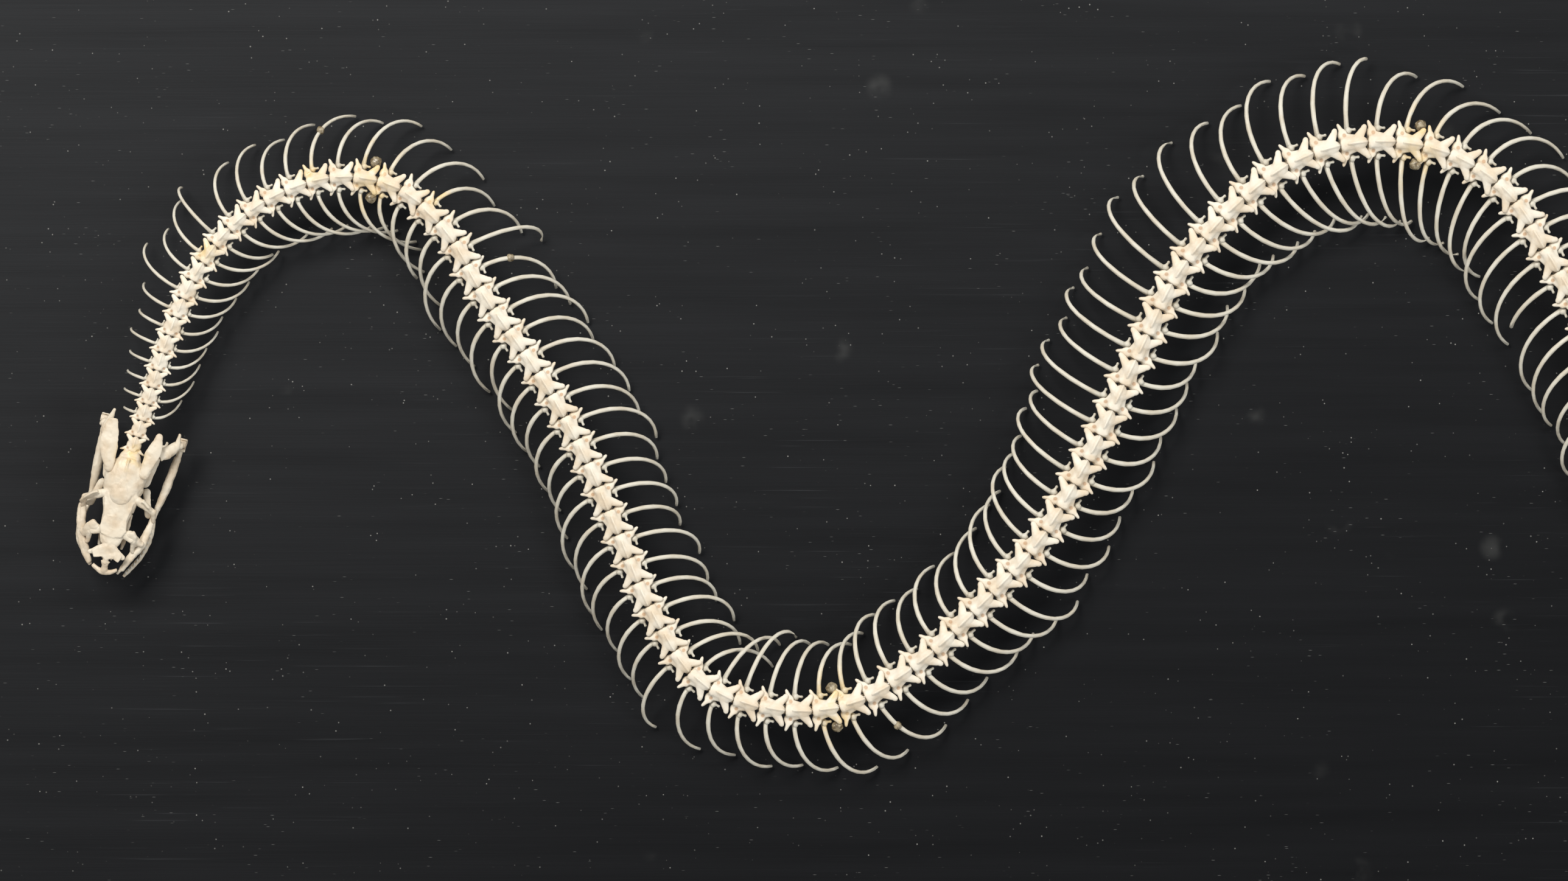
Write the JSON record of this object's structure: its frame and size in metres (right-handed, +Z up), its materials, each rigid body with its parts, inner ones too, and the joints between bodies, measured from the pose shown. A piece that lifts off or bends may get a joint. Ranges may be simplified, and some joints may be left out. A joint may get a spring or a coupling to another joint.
{
  "type": "mounted snake skeleton",
  "caption": "Complete snake skeleton with loosely hinged lower jaws, laid out in S-bends on posts above a flat black display board with corner screw holes.",
  "frame": {"origin": "middle of the underside of the board", "axes": "+Z up off the board, the spine runs from the head at -X to the tail at +X, +Y across the board"},
  "size_m": [0.6984, 0.2408, 0.0279],
  "materials": {
    "black_paint": "satin black paint brushed onto a wooden board",
    "vertebra_bone": "dry, degreased warm white bone",
    "rib_bone": "dry ivory grey bone",
    "skull_bone": "dry, degreased warm white bone",
    "tooth_enamel": "slightly glossy white tooth",
    "post_steel": "dull steel wire",
    "wire_steel": "drawn steel wire",
    "clear_glue": "aged clear glue, yellow brown"
  },
  "bodies": {
    "mounted_skeleton": {"atlas": "vertebra_bone", "axis": "vertebra_bone", "braincase": "skull_bone", "display_board": "black_paint", "ectopterygoid_left": "skull_bone", "ectopterygoid_right": "skull_bone", "frontal_bones": "skull_bone", "glue_dabs": "clear_glue", "maxilla_left": "skull_bone", "maxilla_right": "skull_bone", "maxilla_teeth_left": "tooth_enamel", "maxilla_teeth_right": "tooth_enamel", "nasal_bones": "skull_bone", "neck_vertebrae": "vertebra_bone", "palatine_left": "skull_bone", "palatine_right": "skull_bone", "palatine_teeth_left": "tooth_enamel", "palatine_teeth_right": "tooth_enamel", "parasphenoid_rostrum": "skull_bone", "postorbital_left": "skull_bone", "postorbital_right": "skull_bone", "prefrontal_left": "skull_bone", "prefrontal_right": "skull_bone", "premaxilla": "skull_bone", "pterygoid_left": "skull_bone", "pterygoid_right": "skull_bone", "ribs_left_1": "rib_bone", "ribs_left_2": "rib_bone", "ribs_left_3": "rib_bone", "ribs_left_4": "rib_bone", "ribs_left_5": "rib_bone", "ribs_left_6": "rib_bone", "ribs_right_1": "rib_bone", "ribs_right_2": "rib_bone", "ribs_right_3": "rib_bone", "ribs_right_4": "rib_bone", "ribs_right_5": "rib_bone", "ribs_right_6": "rib_bone", "spine_wire": "wire_steel", "support_posts": "post_steel", "supratemporal_left": "skull_bone", "supratemporal_right": "skull_bone", "tail_vertebrae_front": "vertebra_bone", "tail_vertebrae_tip": "vertebra_bone", "trunk_vertebrae_1": "vertebra_bone", "trunk_vertebrae_2": "vertebra_bone", "trunk_vertebrae_3": "vertebra_bone", "trunk_vertebrae_4": "vertebra_bone", "trunk_vertebrae_5": "vertebra_bone", "trunk_vertebrae_6": "vertebra_bone", "vomers": "skull_bone"},
    "quadrate_left": {"quadrate_left": "skull_bone"},
    "mandible_left": {"mandible_left": "skull_bone", "dentary_left": "skull_bone", "dentary_teeth_left": "tooth_enamel"},
    "quadrate_right": {"quadrate_right": "skull_bone"},
    "mandible_right": {"mandible_right": "skull_bone", "dentary_right": "skull_bone", "dentary_teeth_right": "tooth_enamel"}
  },
  "joints": [
    {"name": "quadrate_left_swing", "type": "hinge", "parent": "mounted_skeleton", "child": "quadrate_left", "pos_m": [-0.30029, -0.00704, 0.0255], "axis": [0, 0, 1], "range_deg": [-2, 5]},
    {"name": "jaw_left_hinge", "type": "hinge", "parent": "quadrate_left", "child": "mandible_left", "pos_m": [-0.29531, -0.00421, 0.0205], "axis": [0.9731, -0.2302, 0], "range_deg": [0, 8]},
    {"name": "quadrate_right_swing", "type": "hinge", "parent": "mounted_skeleton", "child": "quadrate_right", "pos_m": [-0.31171, -0.00146, 0.0255], "axis": [0, 0, -1], "range_deg": [-2, 5]},
    {"name": "jaw_right_hinge", "type": "hinge", "parent": "quadrate_right", "child": "mandible_right", "pos_m": [-0.31321, 0.00177, 0.0205], "axis": [0.9731, -0.2302, 0], "range_deg": [0, 8]}
  ]
}
